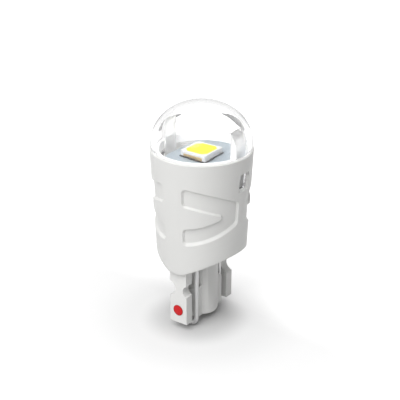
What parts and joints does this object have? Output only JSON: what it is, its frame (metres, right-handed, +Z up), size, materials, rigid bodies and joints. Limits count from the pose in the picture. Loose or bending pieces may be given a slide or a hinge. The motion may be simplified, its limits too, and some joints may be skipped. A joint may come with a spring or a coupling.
{
  "type": "wedge base led bulb",
  "caption": "Wedge base LED bulb with a clear dome over one square LED, a tapered housing and a two-blade base with looped contact wires.",
  "frame": {"origin": "on the bulb's axis, level with the lowest point of the contact wires", "axes": "+Z up along the axis, from the wedge base to the dome; X along the width of the wedge base, with the red dot on the -X blade"},
  "size_m": [0.02, 0.02, 0.0459],
  "materials": {
    "housing_plastic": "satin moulded light grey plastic",
    "base_plastic": "satin moulded light grey plastic",
    "clear_plastic": "clear moulded polycarbonate",
    "tinned_wire": "tinned copper, slightly dull",
    "board_mask": "pale blue-grey solder mask on an aluminium board",
    "thermal_pad": "soft thermal pad",
    "aluminium": "bare drawn aluminium",
    "led_white": "white reflector moulding",
    "led_dark": "dark solder and mask edge",
    "phosphor": "yellow phosphor in silicone",
    "gold_contact": "gold plated lead frame",
    "driver_mask": "green glass-fibre board",
    "component_black": "black moulded package",
    "component_grey": "thick film resistor",
    "component_tan": "ceramic capacitor",
    "red_paint": "printed red paint"
  },
  "bodies": {
    "root": {"housing": "housing_plastic", "wedge_base": "base_plastic", "dome_lens": "clear_plastic", "contact_wire_left": "tinned_wire", "contact_wire_right": "tinned_wire", "feed_pin_left": "tinned_wire", "feed_pin_right": "tinned_wire", "led_board": "board_mask", "thermal_pad": "thermal_pad", "heat_sink": "aluminium", "led_base": "led_dark", "led_frame": "led_white", "led_phosphor": "phosphor", "led_contact_left": "gold_contact", "led_contact_right": "gold_contact", "driver_board": "driver_mask", "bridge_rectifier": "component_black", "driver_chip": "component_black", "capacitor_left": "component_tan", "capacitor_right": "component_tan", "resistor_1": "component_grey", "resistor_2": "component_grey", "resistor_3": "component_grey", "resistor_4": "component_grey", "red_dot": "red_paint"}
  },
  "joints": []
}
